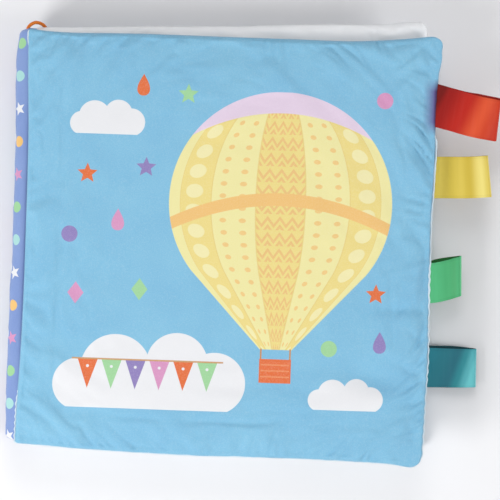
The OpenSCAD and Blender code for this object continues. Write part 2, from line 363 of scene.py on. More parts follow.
def barShape(x, y, x0, y0, wide, high):
    return least(wide / 2 - abs(x - x0), high / 2 - abs(y - y0))


def diamondShape(x, y, r):
    return (1 - abs(x) / (0.85 * r) - abs(y) / (1.15 * r)) * (0.68 * r)


def starShape(x, y, r):
    tip, dent = 1.1 * r, 0.5 * r
    turn = x.calc("ARCTAN2", x, y)
    fold = abs((turn + pi / 5) % (2 * pi / 5) - pi / 5)
    rim = tip * dent * sin(pi / 5) / (dent * x.calc("SINE", pi / 5 - fold) + tip * x.calc("SINE", fold))
    return rim - x.calc("SQRT", x * x + y * y)


def dropShape(x, y, r):
    s = y / (1.15 * r)
    half = 0.92 * r * x.calc("SQRT", most(1 - s * s, 0)) * most((1 - s) / 2, 0) ** 0.65
    return least(half - abs(x), 1.14 * r - abs(y))


def cloudShape(place, x, y, x0, y0, w, h):
    bumps = [(-w / 2 + h * 0.32, h * 0.3, h * 0.34), (-w * 0.18, h * 0.5, h * 0.46),
             (w * 0.14, h * 0.6, h * 0.4), (w / 2 - h * 0.4, h * 0.36, h * 0.4)]
    discs = [discShape(place, x0 + bx, y0 + by, r) for bx, by, r in bumps]
    body = barShape(x, y, x0 - h * 0.04, y0 + h * 0.23, w - h * 0.72, h * 0.46)
    return least(most(body, *discs), y - y0)


ink = {
    "blue": "#87c3e0", "deepBlue": "#79b7da", "paleYellow": "#eee6a4", "warmYellow": "#ecd988",
    "ochre": "#efc278", "white": "#e9eaed", "coral": "#e2703c", "pink": "#d796c0",
    "palePink": "#e3d0e4", "green": "#9fd39c", "mint": "#a9dad8", "violet": "#8f80ba",
    "spine": "#88a1d3", "deepSpine": "#7a93cc",
}
coverPrint = {
    "balloon": (20, 17), "radius": 42, "mouth": -38, "mouthWidth": 12, "gores": 7, "basket": 9,
    "clouds": [(-27, -62, 72, 29), (47, -60, 28, 12), (-46, 41, 28, 13)],
    "charmSize": 3.6,
    "charms": [
        ("coral", "star", -53, 26), ("coral", "drop", -33, 60), ("coral", "star", 57, -16),
        ("pink", "drop", -41, 9), ("pink", "diamond", -56, -19), ("pink", "dot", 58, 57),
        ("green", "diamond", -32, -17), ("green", "star", -16, 57), ("green", "dot", 40, -37),
        ("violet", "dot", -59, 3), ("violet", "star", -31, 29), ("violet", "drop", 59, -34),
    ],
    "pennants": {"x": -50.5, "y": -47, "pitch": 9, "wide": 7.6, "high": 11},
}


def printBalloon(ground, place, x, y):
    spec = coverPrint
    cx, cy = spec["balloon"]
    r = spec["radius"]
    shoulder = 0.62 * r
    low = spec["mouth"] - cy
    bx, by = x - cx, y - cy
    edgeHalf = bx.calc("SQRT", most(r * r - by * by, 0.01))
    widest = sqrt(r * r - shoulder * shoulder)
    t = (by + shoulder) * (1 / (low + shoulder))
    taper = widest - t * (widest - spec["mouthWidth"] / 2)
    above = by > -shoulder
    half = above * edgeHalf + (1 - above) * taper
    across = bx.calc("ARCSINE", least(most(bx / half, -1), 1)) * (spec["gores"] / pi) + spec["gores"] / 2
    gore = bx.calc("FLOOR", across)
    inGore = across - gore - 0.5                  # -0.5 to 0.5 across one gore
    odd = gore % 2 > 0.5
    seam = inked((0.5 - abs(inGore)) * half * (pi / spec["gores"]) - 0.25, 0.25)

    def only(*which):
        chosen = [abs(gore - k) < 0.5 for k in which]
        return most(*chosen)

    yellow, warm, ochre = rgba(ink["paleYellow"]), rgba(ink["warmYellow"]), rgba(ink["ochre"])
    skin = ground.make("Mix", {"data_type": "RGBA"}, {0: odd, 6: yellow, 7: warm}, out=2)
    row = by / 7.5
    alongRow = row - bx.calc("FLOOR", row) - 0.5
    wideDots = inked(2.6 - bx.calc("SQRT", alongRow * alongRow * 56 + inGore * inGore * 90), 0.3)
    skin = skin.under(rgba("#f2ecb8"), wideDots * only(1, 5) * 0.8)
    zigzag = abs(abs(inGore * 4 % 1 - 0.5) * 6 - (by + 100) % 6)
    skin = skin.under(rgba("#e9b878"), inked(0.75 - abs(zigzag - 1.5), 0.25) * only(3) * 0.75)
    small = by / 4.6
    alongSmall = small - bx.calc("FLOOR", small) - 0.5
    near = abs(inGore) - 0.22
    smallDots = inked(0.85 - bx.calc("SQRT", alongSmall * alongSmall * 21 + near * near * 120), 0.25)
    skin = skin.under(ochre, smallDots * only(2, 4) * 0.8)
    skin = skin.under(rgba("#e6cd7e"), (1 - seam) * 0.8)
    band = inked(2.4 - abs(by - 1.5 + bx * bx * 0.006), 0.25)
    skin = skin.under(ochre, band)
    crown = inked(by - r + 8 + bx * bx * 0.008, 0.25)
    skin = skin.under(rgba(ink["palePink"]), crown)
    inside = least(half - abs(bx), by - low, r - 0.1 - by)
    picture = ground.under(skin, inked(inside))
    basketY = spec["mouth"] - 0.9 * spec["basket"]
    ropes = barShape(abs(bx), y, spec["mouthWidth"] / 2 - 0.5, spec["mouth"] - 1.8, 0.6, 4.2)
    picture = picture.under(rgba("#c98a4c"), inked(ropes, 0.2))
    basket = barShape(bx, y, 0, basketY, spec["mouthWidth"], spec["basket"])
    picture = picture.under(rgba(ink["coral"]), inked(basket))
    straps = abs((y + 100) % 2.25 - 1.12) - 0.85
    return picture.under(rgba("#eb9a6a"), inked(basket - 0.6) * inked(straps, 0.3) * 0.7)


def printPennants(ground, x, y):
    spec = coverPrint["pennants"]
    px = x - (spec["x"] - spec["pitch"] / 2)
    number = px.calc("FLOOR", px / spec["pitch"])
    local = px - number * spec["pitch"] - spec["pitch"] / 2
    ly = y - spec["y"]
    top, foot = 0.3 * spec["high"], -0.7 * spec["high"]
    triangle = least((ly - foot) * (spec["wide"] / 2 / spec["high"]) - abs(local), top - ly)
    row = least(px, 6 * spec["pitch"] - px)
    colours = [ink[k] for k in ("coral", "green", "violet", "pink", "coral", "green")]
    stops = [(k / 6, linear(colour)) for k, colour in enumerate(colours)]
    flag = x.make("ValToRGB", {"steps": stops}, {0: (number + 0.5) / 6})
    ground = ground.under(flag, inked(least(triangle, row)))
    dots = least(0.55 - x.calc("SQRT", local * local + (ly - 0.6) * (ly - 0.6)), row)
    ground = ground.under(rgba(ink["white"]), inked(dots, 0.2))
    string = least(0.3 - abs(ly - top - 0.1), row + 1.5)
    return ground.under(rgba("#c99a6a"), inked(string, 0.2))


def printCharms(ground, place, x, y):
    r = coverPrint["charmSize"]
    for colour in ("coral", "pink", "green", "violet"):
        shapes = []
        for tint, kind, x0, y0 in coverPrint["charms"]:
            if tint != colour:
                continue
            if kind == "dot":
                shapes.append(discShape(place, x0, y0, 0.85 * r))
            else:
                draw = {"star": starShape, "drop": dropShape, "diamond": diamondShape}[kind]
                shapes.append(draw(x - x0, y - y0, r))
        ground = ground.under(rgba(ink[colour]), inked(most(*shapes)))
    return ground


def coverMaterial(name, printed):
    material, start = freshMaterial(name)
    place, x, y, z = objectMillimetres(start)
    flat = start.make("CombineXYZ", None, {0: x, 1: y})
    colour, height = clothGround(start, place, x, y, rgba(ink["blue"]), rgba(ink["deepBlue"]))
    if printed:
        clouds = [cloudShape(flat, x, y, *cloud) for cloud in coverPrint["clouds"]]
        colour = colour.under(rgba(ink["white"]), inked(most(*clouds)))
        colour = printBalloon(colour, flat, x, y)
        colour = printPennants(colour, x, y)
        colour = printCharms(colour, flat, x, y)
        fine = speckle(start, place, 2.3, 2.0)
        colour = colour.under(rgba("#ffffff"), most(fine - 0.45, 0) * 0.35)
        # painted shade and painted red reflection: beside the red tab the blue darkens to violet towards the
        # fore-edge, with a darker painted shade line right at the edge
        paintedShadeBesideTab = inked(8.3 - abs(y - 55.5), 5)
        colour = colour.under(rgba("#581a78"), inked(x - 74.6, 4.6) * paintedShadeBesideTab * 0.85)
        colour = colour.under(rgba("#330a36"), inked(x - 77.0, 1.3) * paintedShadeBesideTab * 0.9)
    closeMaterial(start, colour, height, satinFinish, 0.35)
    return material


frontMaterial = coverMaterial("printedSatin", True)
backMaterial = coverMaterial("plainSatin", False)
liningMaterial = plainCloth("whiteLining", "#deecf3", "#d2e4ee")
pageMaterial = plainCloth("pageCloth", "#fcfdff", "#f5f7fa")
threadMaterial = plainCloth("sewingThread", "#eeeeee", "#d8d8da")
waddingMaterial = plainCloth("polyesterWadding", "#eeeeec", "#e0e0dd", strength=0.9)
filmMaterial, start = freshMaterial("cracklingFilm")
place, x, y, z = objectMillimetres(start)
crease = start.make("TexVoronoi", {"feature": "DISTANCE_TO_EDGE"}, {"Vector": place, "Scale": 0.12}, 0)
# the film is painted darker along its crease lines: painted shade in the creases
colour = start.make("Mix", {"data_type": "RGBA"}, {0: inked(crease - 0.3, 0.4), 6: (0.6, 0.62, 0.64, 1),
                                                   7: (0.75, 0.77, 0.78, 1)}, out=2)
closeMaterial(start, colour, crease, {"Roughness": 0.2}, 0.5)
print("cloth materials ready")


# Padded leaves

# Edges are curves through (place, offset) points in mm, going by what they run along
coverSpine = [(-79, -77.2), (-60, -76.9), (-45, -76.3), (-19, -75.8), (10, -75.8), (41, -76.1),
              (66, -77.1), (80, -77.3)]
frontCover = {
    "middle": 22.1, "top": 3.1, "under": 3.0, "cells": 108, "swell": 13, "foreCorner": 4.8,
    "spineCorner": 1.0, "seed": 1, "on": "leaf",
    "head": [(-78, 80.1), (-70, 79.2), (-60, 78.9), (-46, 79.2), (-31, 79.4), (-3, 79.3), (25, 79.3),
             (44, 79.3), (57, 80.1), (68, 81.2), (74, 82.0), (79, 82.2)],
    "foot": [(-78, -76.7), (-46, -78.3), (-10, -79.2), (26, -79.0), (62, -79.7), (73, -80.8), (79, -80.9)],
    "spine": coverSpine,
    "fore": [(-81, 76.3), (-72, 76.7), (-55, 77.1), (-36, 77.5), (-12, 77.0), (2, 77.0), (12, 76.9),
             (22, 77.2), (36, 77.6), (50, 77.5), (60, 77.8), (67, 78.2), (71.5, 79.1), (75, 79.0),
             (78, 79.6), (82, 79.8)],
}
backCover = dict(
    frontCover, middle=3.1, top=3.0, under=3.1, cells=64, seed=4, on="table",
    head=[(-78, 79.0), (-40, 78.3), (0, 77.9), (40, 78.3), (79, 79.0)],
    foot=[(-78, -75.9), (-40, -75.6), (0, -75.7), (40, -75.6), (79, -75.9)],
    fore=[(-77, 77.9), (-40, 77.5), (0, 77.2), (40, 77.5), (80, 77.9)],
)
upperLeaf = {
    "middle": 15.7, "top": 2.9, "under": 2.75, "cells": 64, "swell": 6, "foreCorner": 5.0,
    "spineCorner": 1.5, "seed": 2, "on": "leaf",
    "head": [(-77, 80.4), (-72, 81.0), (-60, 81.4), (-30, 82.9), (0, 83.9), (31, 85.8), (57, 86.7),
             (66, 87.8), (74, 88.6)],
    "foot": [(-77, -75.6), (0, -72.8), (40, -70.6), (74, -68.8)],
    "spine": [(-76, -76.2), (0, -76.0), (80, -76.2)],
    "fore": [(-70, 73.4), (-30, 73.0), (10, 72.8), (50, 73.1), (80, 73.8), (89, 74.3)],
}
lowerLeaf = dict(
    upperLeaf, middle=9.5, seed=3,
    head=[(-77, 79.0), (-30, 79.4), (20, 80.1), (74, 81.0)],
    foot=[(-77, -75.7), (0, -75.2), (74, -74.0)],
    fore=[(-75, 73.6), (-30, 73.2), (10, 72.9), (50, 73.2), (82, 73.6)],
)
clothRun = {
    "frames": 18, "quality": 5, "pressure": 1.2, "slack": 0.045,
    "mass": 0.15, "stretch": 12, "shear": 4, "bend": 0.05,
    "limit": 0.75, "flatten": 40,     # most that a point may move, mm, and how much of the swell comes off
    "inner": 0.3, "seamReach": 15,    # share kept in the middle, and how far the full share reaches, mm
}
leafGrid = {"crowd": 0.35}    # closer rows near the seams


def edgesAt(leaf, x, y):                          # inward distance from spine, fore, foot and head
    return (x - track(leaf["spine"], y), track(leaf["fore"], y) - x,
            y - track(leaf["foot"], x), track(leaf["head"], x) - y)


def planPoint(leaf, u, v):                        # leaf square 0..1 to the real outline, with inset
    u -= leafGrid["crowd"] * sin(2 * pi * u) / (2 * pi)
    v -= leafGrid["crowd"] * sin(2 * pi * v) / (2 * pi)
    guessY = leaf["foot"][0][1] + v * (leaf["head"][0][1] - leaf["foot"][0][1])
    left, right = track(leaf["spine"], guessY), track(leaf["fore"], guessY)
    x = left + u * (right - left)
    low, high = track(leaf["foot"], x), track(leaf["head"], x)
    y = low + v * (high - low)
    a = min(x - left, right - x)
    b = min(y - low, high - y)
    r = leaf["foreCorner"] if u > 0.5 else leaf["spineCorner"]
    if a < r and b < r:
        p, q = 1 - a / r, 1 - b / r
        a = r - r * p * sqrt(1 - q * q / 2)
        b = r - r * q * sqrt(1 - p * p / 2)
        x = right - a if u > 0.5 else left + a
        y = high - b if v > 0.5 else low + b
        return x, y, r * (1 - max(p, q))
    return x, y, min(a, b)


def swellAt(inset, span):                         # share of the full height at a distance from the seam
    return sqrt(max(0, 1 - (1 - min(max(inset, 0) / span, 1)) ** 2.2))


def blurred(field, times):
    for _ in range(times):
        wide = np.pad(field, 1, mode="edge")
        field = (wide[:-2, 1:-1] + wide[2:, 1:-1] + wide[1:-1, :-2] + wide[1:-1, 2:]) / 4
    return field


def leafPad(name, leaf):                          # closed pad, pinned round its seam
    n = leaf["cells"]
    points = []
    topIndex = {}
    underIndex = {}
    for j in range(n + 1):
        for i in range(n + 1):
            x, y, inset = planPoint(leaf, i / n, j / n)
            lift = swellAt(inset, leaf["swell"])
            topIndex[i, j] = underIndex[i, j] = len(points)
            points.append((x * mm, y * mm, (leaf["middle"] + leaf["top"] * lift) * mm))
            if 0 < i < n and 0 < j < n:
                underIndex[i, j] = len(points)
                points.append((x * mm, y * mm, (leaf["middle"] - leaf["under"] * lift) * mm))
    faces = []
    for side, index in enumerate((topIndex, underIndex)):
        for j in range(n):
            for i in range(n):
                ring = [index[i, j], index[i + 1, j], index[i + 1, j + 1], index[i, j + 1]]
                faces.append(ring if side == 0 else ring[::-1])
    pad = addMesh(name, points, faces)
    pad.data.polygons.foreach_set("material_index", [k // (n * n) for k in range(2 * n * n)])
    seam = {topIndex[i, j] for i in range(n + 1) for j in range(n + 1) if i in (0, n) or j in (0, n)}
    pad.vertex_groups.new(name="seam").add(list(seam), 1, "ADD")
    crease = pad.data.attributes.new("crease_edge", "FLOAT", "EDGE")
    crease.data.foreach_set("value", [float(seam.issuperset(edge.vertices)) for edge in pad.data.edges])
    return pad, topIndex, underIndex


def relaxCloth(pad, leaf, topIndex, underIndex):  # lets the slack cloth wrinkle, then presses it flat
    n = leaf["cells"]
    mesh = pad.data
    rest = np.empty(len(mesh.vertices) * 3)
    mesh.vertices.foreach_get("co", rest)
    rest = rest.reshape(-1, 3)
    cloth = pad.modifiers.new("Cloth", "CLOTH")
    run = cloth.settings
    run.quality = clothRun["quality"]
    run.mass = clothRun["mass"]
    run.tension_stiffness = run.compression_stiffness = clothRun["stretch"]
    run.shear_stiffness = clothRun["shear"]
    run.bending_stiffness = clothRun["bend"]
    run.use_pressure = True
    run.uniform_pressure_force = clothRun["pressure"]
    run.shrink_min = -clothRun["slack"]
    run.vertex_group_mass = "seam"
    run.effector_weights.gravity = 0
    cloth.collision_settings.use_collision = False
    scene = bpy.context.scene
    for step in range(1, clothRun["frames"] + 1):
        scene.frame_set(step)
    pick(pad)
    bpy.ops.object.modifier_apply(modifier=cloth.name)
    scene.frame_set(1)
    after = np.empty(len(mesh.vertices) * 3)
    mesh.vertices.foreach_get("co", after)
    after = after.reshape(-1, 3)
    moved = after - rest
    final = rest.copy()
    insets = np.array([[planPoint(leaf, i / n, j / n)[2] for i in range(n + 1)] for j in range(n + 1)])
    inner = clothRun["inner"]
    nearSeam = inner + (1 - inner) * np.exp(-(insets / clothRun["seamReach"]) ** 2)
    for index in (topIndex, underIndex):
        order = np.array([[index[i, j] for i in range(n + 1)] for j in range(n + 1)])
        for axis in range(3):
            field = moved[order, axis]
            ripple = (field - blurred(field, clothRun["flatten"])) * nearSeam
            cap = clothRun["limit"] * mm * (1 if axis == 2 else 0.5)
            ripple = cap * np.tanh(ripple / cap)
            ripple[0, :] = ripple[-1, :] = ripple[:, 0] = ripple[:, -1] = 0
            final[order, axis] = rest[order, axis] + ripple
    mesh.vertices.foreach_set("co", final.reshape(-1))
    mesh.update()
    print("cloth relaxed on", pad.name, "largest move %.1f mm" % (np.abs(moved).max() * 1000))


# Puckers along the sewn edges

frontPuckers = {
    "pitch": 3.8, "reach": 3.3, "short": 1.4, "long": 9.0, "deep": 1.8, "slant": 0.8, "pull": 0.05,
    "scallop": 0.13, "strength": {"spine": 0.12, "fore": 1.0, "foot": 0.4, "head": 0.35},
    "ripple": 0.16, "most": 0.76, "keep": 0.75,   # share and height, mm, that puckers leave over the seam
    # x, y, angle in degrees, half length, half width, depth in mm
    "dents": [
        (57, -47, -12, 12, 5, 1.8), (67, -21, 4, 8, 2.2, 1.3), (70.5, -43.6, -22, 6, 1.6, 1.1),
        (65, -38.8, -18, 8, 2.6, -0.6), (72, -56, 18, 5, 2, 1.3), (73, -32, -45, 4, 1.5, 0.8),
        (72.5, 37, -40, 4, 2, 0.8), (70, 32.5, 45, 3.5, 1.5, -0.3), (73, 12, 22, 3.5, 1.8, 0.8),
        (74, -66, 30, 5, 2, 0.5), (75, -10, -15, 4, 1.6, 0.6), (79.5, 60, 90, 15, 6, 1.3),
        (-68, 66, 105, 6, 2.2, 0.25), (-55, 76, 82, 5, 1.4, 0.25),
        (72, 73, 45, 5, 1.3, 0.3), (-30, 77, 95, 4, 1.6, 0.22), (2, 76, 85, 5, 2.0, 0.2),
        (33, 77, 92, 4, 1.4, 0.2), (-20, -76, 92, 4, 1.5, 0.2), (14, -76, 84, 4, 1.5, 0.25),
        (60, -77, 80, 4, 1.5, 0.2), (-66, -40, 20, 8, 3.0, 0.15), (64, 6, -10, 7, 2.5, 0.22),
    ],
}
quietPuckers = dict(frontPuckers, strength={"spine": 0.12, "fore": 0.7, "foot": 0.4, "head": 0.4}, dents=[])
leafPuckers = dict(
    frontPuckers, pitch=8, reach=3.5, long=10, pull=0.1, dents=[], ripple=0.1,
    strength={"spine": 0.1, "fore": 0.3, "foot": 0.3, "head": 0.3})


def pucker(along, inset, seed, spec, strength):   # how far the cloth is drawn in at a point, mm
    if inset > 2.5 * spec["long"]:
        return 0.0
    leaning = spec["slant"] * (2 * wander(along, 0, seed + 3, 15) - max(-1, min(along / 30, 1)))
    warped = along + leaning * inset + 1.6 * wander(along, 0, seed, 9)
    uneven = max(0.15, 0.6 + 1.3 * wander(along, 7, seed + 2, 8))
    short = (0.5 + 0.5 * cos(2 * pi * warped / spec["pitch"])) * uneven
    drawn = spec["short"] * short * exp(-(inset / spec["reach"]) ** 2)
    folds = max(0, 1 - abs(wander(warped, inset * 0.22, seed + 5, 5.0)) * 3.2)
    fade = exp(-(inset / spec["long"]) ** 2)
    uneven = max(0, 0.7 + 1.1 * wander(along, 3, seed + 1, 17))
    drawn += spec["deep"] * folds * folds * (3 - 2 * folds) * fade * uneven
    return drawn * strength


def dentAt(x, y, spec):                           # single creases and hollows pressed in one by one
    total = 0.0
    for x0, y0, angle, long, wide, depth in spec["dents"]:
        c, s = cos(radians(angle)), sin(radians(angle))
        u, v = (x - x0) * c + (y - y0) * s, (y - y0) * c - (x - x0) * s
        if abs(u) < 2.5 * long and abs(v) < 2.5 * wide:
            total += depth * exp(-(u / long) ** 2 - (v / wide) ** 2)
    return total


def edgePuckers(leaf, spec, x, y):                # how far each edge draws the cloth in, and its distance
    found = {}
    for edge, away in zip(("spine", "fore", "foot", "head"), edgesAt(leaf, x, y)):
        along = y if edge in ("spine", "fore") else x
        away = max(away, 0)
        depth = pucker(along, away, leaf["seed"] * 5 + len(edge), spec, spec["strength"][edge])
        found[edge] = (depth, away)
    return found


def shapeSurface(piece, leaf, spec):
    seed = leaf["seed"] * 5
    middle = leaf["middle"]
    for vertex in piece.data.vertices:
        x, y, z = vertex.co.x / mm, vertex.co.y / mm, vertex.co.z / mm
        side = 1 if z >= middle else -1
        edges = edgePuckers(leaf, spec, x, y)
        inset = min(away for depth, away in edges.values())
        fade = min(1, abs(z - middle) / 0.8)
        drawn = dentAt(x, y, spec) * fade if side > 0 else 0.0
        shiftX = shiftY = 0.0
        for edge, (depth, away) in edges.items():
            drawn += depth * fade
            pull = depth * exp(-away / 2.5) * spec["pull"]
            shiftX += pull * (edge == "spine") - pull * (edge == "fore")
            shiftY += pull * (edge == "foot") - pull * (edge == "head")
        below = min(1, max(0, (10 - y) / 20))
        wave = sin(2 * pi * (y + 1.6 * wander(y, 0, 9, 9)) / spec["pitch"])
        shiftX += spec["scallop"] * below * wave * exp(-edges["fore"][1] / 1.5)
        inner = min(1, max(0, inset / 14))
        swell = wander(x, y, seed + 20, 26) + 0.6 * wander(x, y, seed + 21, 12)
        full = abs(z - middle)
        drawn = min(drawn, spec["most"] * full, max(0, full - spec["keep"]))
        height = full - drawn + spec["ripple"] * swell * inner
        if leaf["on"] == "table" and side < 0:        # the lowest cloth lies flat on the table
            height = min(height, leaf["under"] - 0.02)
        vertex.co = ((x + shiftX) * mm, (y + shiftY) * mm, (middle + side * max(height, 0.0)) * mm)
    piece.data.update()


def splitCover(pad, names):                       # top and under side of a cover as two pieces
    for name in names:
        pad.data.materials.append(None)
    pick(pad)
    before = set(bpy.data.objects)
    bpy.ops.object.mode_set(mode="EDIT")
    bpy.ops.mesh.select_all(action="SELECT")
    bpy.ops.mesh.separate(type="MATERIAL")
    bpy.ops.object.mode_set(mode="OBJECT")
    parts = [pad] + [o for o in bpy.data.objects if o not in before]
    parts.sort(key=lambda part: -sum(v.co.z for v in part.data.vertices) / len(part.data.vertices))
    for part, name in zip(parts, names):
        part.name = name
        part.data.materials.clear()
        part.data.polygons.foreach_set("material_index", [0] * len(part.data.polygons))
        part.vertex_groups.clear()
    return parts


def makeLeaf(name, leaf, levels):
    pad, topIndex, underIndex = leafPad(name, leaf)
    relaxCloth(pad, leaf, topIndex, underIndex)
    finishWith(pad, "SUBSURF", levels=levels, render_levels=levels)
    return pad


rimShow = {
    "fore": [(-80, 0.25), (-66, 0.45), (-55, 0.4), (-35, 0.6), (0, 0.6), (20, 0.7), (35, 0.8), (46, 0.8)],
    "hidden": -0.55,          # where a tab or the head covers the rim
    "spine": 0.5, "foot": 0.12, "tabFoot": 46, "fade": 1.6, "spineFade": 1.2,
    "headEnd": 70, "footEnd": -52,    # past these the rim shows along the spine
    "notch": 0.35, "notchPitch": 2.4,
}


def rollLining(piece, leaf):                      # the lining shows as a pale rim past the outer cloth
    for vertex in piece.data.vertices:
        x, y, z = vertex.co.x / mm, vertex.co.y / mm, vertex.co.z / mm
        spine, fore, foot, head = edgesAt(leaf, x, y)
        shown = min(1, max(0, (rimShow["tabFoot"] - y) / 3))
        wide = track(rimShow["fore"], min(y, rimShow["tabFoot"])) * shown + rimShow["hidden"] * (1 - shown)
        out = wide * exp(-max(fore, 0) / rimShow["fade"])
        ends = max(0, (y - rimShow["headEnd"]) / 6) + max(0, (rimShow["footEnd"] - y) / 9)
        notch = 0.85 + (rimShow["notch"] * sin(2 * pi * y / rimShow["notchPitch"]) if y < 0 else 0)
        line = rimShow["spine"] * min(1, ends) * notch + rimShow["hidden"] * max(0, 1 - ends)
        out -= line * exp(-max(spine, 0) / rimShow["spineFade"])
        vertex.co.x = (x + out) * mm
        rise = rimShow["hidden"] * exp(-max(head, 0) / rimShow["fade"])
        rise -= rimShow["foot"] * exp(-max(foot, 0) / rimShow["fade"])
        vertex.co.y = (y + rise) * mm
    piece.data.update()


def wall(piece, thickness):                       # gives a cloth side its own thickness, inwards
    pick(piece)
    finishWith(piece, "SOLIDIFY", thickness=thickness * mm, offset=-1, use_even_offset=False)


def dress(piece, material, body, nodes):
    piece.data.materials.clear()
    piece.data.materials.append(material)
    smooth(piece)
    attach(piece, body)
    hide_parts(*nodes)


prints = ["print_pale_yellow", "print_ochre", "print_white", "print_coral", "print_pink", "print_green",
          "print_violet"]
coverMake = {"wall": 0.4, "fill": 0.55}


def makeCover(side, leaf, puckers, material, nodes):
    pad = makeLeaf(side + "Pad", leaf, 1)
    shapeSurface(pad, leaf, puckers)
    names = [side + "CoverCloth", side + "CoverLining"]
    order = 1 if side == "front" else -1          # the back cover's outer cloth is underneath
    cloth, lining = splitCover(pad, names[::order])[::order]
    rollLining(lining, leaf)
    for piece in (cloth, lining):
        wall(piece, coverMake["wall"])
    dress(cloth, material, side + "_cover", nodes)
    dress(lining, liningMaterial, side + "_cover", [side + "_cover_lining"])
    print(side, "cover made")


makeCover("front", frontCover, frontPuckers, frontMaterial, ["front_cover_panel", *prints])
makeCover("back", backCover, quietPuckers, backMaterial, ["back_cover_panel"])

for name, leaf in (("upperLeaf", upperLeaf), ("lowerLeaf", lowerLeaf)):
    pad = makeLeaf(name, leaf, 1)
    shapeSurface(pad, leaf, leafPuckers)
    pad.vertex_groups.clear()
    pad.data.polygons.foreach_set("material_index", [0] * len(pad.data.polygons))
    dress(pad, pageMaterial, "book_block", ["pages"])
print("inner leaves made")


# Wadding and film inside the covers

inside = {"cells": 48, "draw": 0.965, "top": 1.5, "under": 1.3, "film": 1.8, "crackle": 0.14,
          "least": 0.08}      # share of its height that a layer always keeps


def followCloth(piece, leaf, spec):               # the layer gives way wherever the cloth is drawn in
    middle = leaf["middle"]
    for vertex in piece.data.vertices:
        x, y, rise = vertex.co.x / mm, vertex.co.y / mm, vertex.co.z / mm - middle
        drawn = sum(depth for depth, away in edgePuckers(leaf, spec, x, y).values())
        if rise > 0:
            drawn += max(0, dentAt(x, y, spec))
        vertex.co.z = (middle + rise * max(inside["least"], 1 - drawn / max(abs(rise), 0.01))) * mm
    piece.data.update()


coverInsides = [("front", frontCover, 1, frontPuckers), ("back", backCover, -1, quietPuckers)]
for side, leaf, flip, puckers in coverInsides:
    spec = dict(leaf, cells=inside["cells"], top=inside["top" if flip > 0 else "under"],
                under=inside["under" if flip > 0 else "top"])
    wadding, _, _ = leafPad(side + "Filling", spec)
    for vertex in wadding.data.vertices:          # the wadding ends short of the seam
        vertex.co.x *= inside["draw"]
        vertex.co.y *= inside["draw"]
        vertex.co.z += 0.1 * mm * wander(vertex.co.x / mm, vertex.co.y / mm, leaf["seed"] + 70, 7)
    finishWith(wadding, "SUBSURF", levels=1, render_levels=1)
    followCloth(wadding, leaf, puckers)
    wadding.vertex_groups.clear()
    wadding.data.polygons.foreach_set("material_index", [0] * len(wadding.data.polygons))
    dress(wadding, waddingMaterial, side + "_cover", [side + "_wadding"])
    bpy.ops.object.select_all(action="DESELECT")
    bpy.ops.mesh.primitive_grid_add(x_subdivisions=90, y_subdivisions=90, size=1)
    film = bpy.context.object
    film.name = side + "Film"
    for vertex in film.data.vertices:             # flat film with sharp creases pressed into it
        x, y, inset = planPoint(leaf, vertex.co.x + 0.5, vertex.co.y + 0.5)
        crease = noise.multi_fractal(Vector((x / 22, y / 22, leaf["seed"])), 0.7, 2.2, 4)
        lift = inside["film"] * swellAt(inset, leaf["swell"]) + inside["crackle"] * (crease - 1)
        vertex.co = (x * 0.94 * mm, y * 0.94 * mm, (leaf["middle"] - flip * lift) * mm)
    followCloth(film, leaf, puckers)
    wall(film, 0.08)
    dress(film, filmMaterial, side + "_cover", [side + "_crinkle_film"])
print("wadding and film made")


# Spine strip

spineStrip = {
    # from under the front cover's seam, round the outside, to above the back cover's seam
    "profile": [(-74.4, 19.3), (-75.4, 20.2), (-76.5, 20.75), (-77.6, 20.5), (-78.7, 19.5), (-79.7, 18.0),
                (-80.35, 16.0), (-80.5, 12.6), (-80.35, 9.2), (-79.7, 7.2), (-78.7, 5.7), (-77.6, 4.7),
                (-76.5, 4.45), (-75.4, 5.0), (-74.4, 5.9)],
    "foot": -75.9, "head": 80.2, "seamX": -77.0, "middleZ": 12.6,
    "rows": 220, "steps": 3, "thick": 0.7, "tuck": 2.4,
    "outer": [(-76, -0.9), (-61, -1.25), (-37, -1.15), (-20, -1.1), (-4, -0.6), (19, -0.85), (41, -0.95),
              (62, -1.7), (72, -1.4), (80, -0.6)],
}


def stripOfCloth(name, spec):
    line = throughPoints([(x, 0, z) for x, z in spec["profile"]], spec["steps"])
    seamX, middleZ = spec["seamX"], spec["middleZ"]
    points, flat, faces = [], [], []
    runs = [0.0]
    for a, b in zip(line, line[1:]):
        runs.append(runs[-1] + (b - a).length)
    for row in range(spec["rows"] + 1):
        t = row / spec["rows"]
        y = spec["foot"] + t * (spec["head"] - spec["foot"])
        end = min(y - spec["foot"], spec["head"] - y)
        tuck = sqrt(max(0.0, 1 - (1 - min(end / spec["tuck"], 1)) ** 2)) * 0.8 + 0.2
        for centre, run in zip(line, runs):
            bulge = max(0.0, (seamX - centre.x) / 3.4)
            ripple = 0.22 * wander(y, run, 31, 9) * bulge + 0.1 * wander(y, run, 32, 3.5) * bulge
            x = seamX + (centre.x - seamX) * (tuck if bulge else 1)
            x += (track(spec["outer"], y) + ripple) * bulge
            z = middleZ + (centre.z - middleZ) * (0.9 + 0.1 * tuck)
            points.append((x * mm, y * mm, z * mm))
            flat.append((y * mm, (run - runs[-1] / 2) * mm))
    wide = len(line)
    for row in range(spec["rows"]):
        for k in range(wide - 1):
            a = row * wide + k
            faces.append((a, a + wide, a + wide + 1, a + 1))
    strip = addMesh(name, points, faces)
    layer = strip.data.uv_layers.new(name="flat")
    for corner in strip.data.loops:
        layer.data[corner.index].uv = flat[corner.vertex_index]
    wall(strip, spec["thick"])
    return strip, runs[-1]


def flatMillimetres(start):                       # the cloth's own flat coordinates in mm
    place = start.make("UVMap", {"uv_map": "flat"})
    place = start.make("VectorMath", {"operation": "SCALE"}, {0: place, "Scale": 1000.0})
    return [place] + [start.make("SeparateXYZ", None, {0: place}, k) for k in range(2)]


